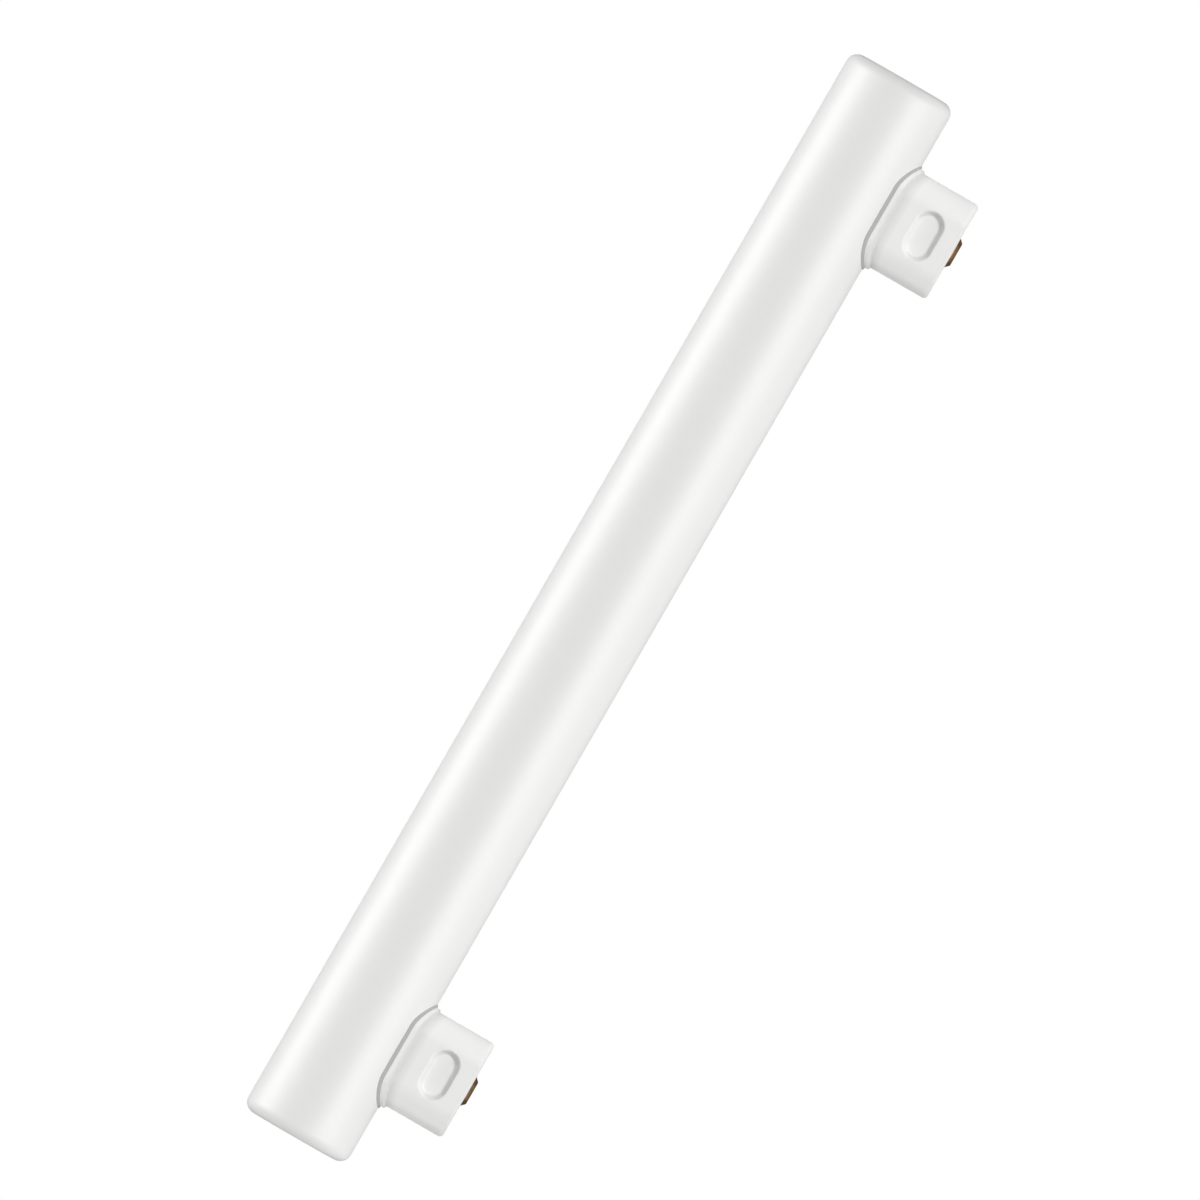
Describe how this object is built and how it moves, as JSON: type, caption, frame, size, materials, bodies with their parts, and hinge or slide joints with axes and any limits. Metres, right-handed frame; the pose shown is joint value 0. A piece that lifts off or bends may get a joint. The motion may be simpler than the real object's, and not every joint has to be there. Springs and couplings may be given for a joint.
{
  "type": "linear side-cap lamp",
  "caption": "Slim opal white tube lamp with flat rounded ends and a white single-contact cap near each end, standing out of its back.",
  "frame": {"origin": "middle of the whole lamp's box, on the surface that it lies on", "axes": "+X along the tube; the caps point to -Y and dip towards the surface, whose normal is +Z, so that the tube and the lower edge of each cap's end rest on it"},
  "size_m": [0.3, 0.0467, 0.029],
  "materials": {
    "opal_glass": "satin opal white, closed and not clear",
    "cap_plastic": "moulded white, fine satin",
    "contact_brass": "pressed sheet, slightly tarnished",
    "cement": "cured grey cement, matt",
    "lead_sleeve": "silicone sleeve, satin",
    "solder": "tin solder, dull bright"
  },
  "bodies": {
    "root": {"cap_shell_left": "cap_plastic", "cap_shell_right": "cap_plastic", "cement_left": "cement", "cement_right": "cement", "contact_left": "contact_brass", "contact_right": "contact_brass", "lead_wire_left": "lead_sleeve", "lead_wire_right": "lead_sleeve", "solder_left": "solder", "solder_right": "solder", "tube": "opal_glass"}
  },
  "joints": []
}
